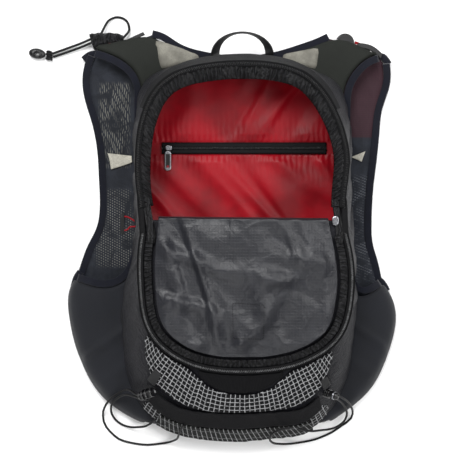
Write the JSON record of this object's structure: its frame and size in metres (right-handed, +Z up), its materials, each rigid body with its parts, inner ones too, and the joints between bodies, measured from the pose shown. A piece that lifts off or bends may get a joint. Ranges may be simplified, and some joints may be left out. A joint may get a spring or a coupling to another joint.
{
  "type": "running hydration vest",
  "caption": "Small running hydration vest lying on its front, its back pack unzipped and the flap folded down, with bungee cords, a grab loop and side wings.",
  "frame": {"origin": "bottom centre of the vest's box, cords left out, on the surface it lies on", "axes": "+X across the vest to the right of the picture, +Y towards the shoulders, +Z up from the surface"},
  "size_m": [0.4215, 0.4936, 0.1166],
  "materials": {
    "padding_mesh": "fine mesh over foam",
    "yoke_cloth": "smooth, matt",
    "pale_mesh": "pale mesh, matt",
    "binding": "smooth stretch binding",
    "stretch_cloth": "stretch knit, matt",
    "pack_nylon": "ripstop nylon, slight sheen",
    "black_cloth": "smooth, matt",
    "grey_ripstop": "coated ripstop, slight sheen",
    "red_lining": "satin",
    "zip_tape": "woven tape with a coil",
    "bright_metal": "worn bright",
    "grid_cloth": "black cloth with a light grid",
    "webbing": "woven",
    "black_plastic": "moulded, slight sheen",
    "cord": "braided",
    "red_cord": "braided"
  },
  "bodies": {
    "root": {"back_panel": "padding_mesh", "yoke_left": "yoke_cloth", "yoke_right": "yoke_cloth", "yoke_window_left": "pale_mesh", "yoke_window_right": "pale_mesh", "neck_binding": "binding", "armhole_binding_left": "binding", "armhole_binding_right": "binding", "front_panel_left": "padding_mesh", "front_panel_right": "padding_mesh", "front_binding_left": "binding", "front_binding_right": "binding", "side_wing_left": "stretch_cloth", "side_wing_right": "stretch_cloth", "pack_wall": "pack_nylon", "pack_front": "pack_nylon", "top_band": "black_cloth", "inner_wall": "grey_ripstop", "lining": "red_lining", "body_zip": "zip_tape", "body_gusset": "black_cloth", "flap": "grey_ripstop", "flap_zip": "zip_tape", "flap_gusset": "black_cloth", "pocket_zip": "zip_tape", "pocket_slider": "bright_metal", "pocket_pull": "bright_metal", "grid_hem": "grid_cloth", "bottom_band": "black_cloth", "grid_pocket": "grid_cloth", "stretch_panel": "black_cloth", "grab_loop": "webbing", "tab_left": "webbing", "tab_right": "webbing", "shoulder_tape": "webbing", "red_tag_left": "red_lining", "shoulder_strap": "webbing", "shoulder_sleeve": "black_cloth", "shoulder_cap": "black_plastic", "red_tag_right": "red_lining", "toggle_knot": "cord", "toggle": "black_plastic", "red_cord_pull": "black_plastic", "sternum_strap": "webbing", "front_patch_left": "pale_mesh", "front_patch_right": "pale_mesh", "main_slider": "bright_metal", "cord_lock_left": "black_plastic", "cord_lock_right": "black_plastic", "bungee_left_outer": "cord", "bungee_left_inner": "cord", "bungee_right_outer": "cord", "bungee_right_inner": "cord", "sleeve_loop": "cord", "toggle_cord_upper": "cord", "toggle_cord_lower": "cord", "red_cord": "red_cord"}
  },
  "joints": []
}
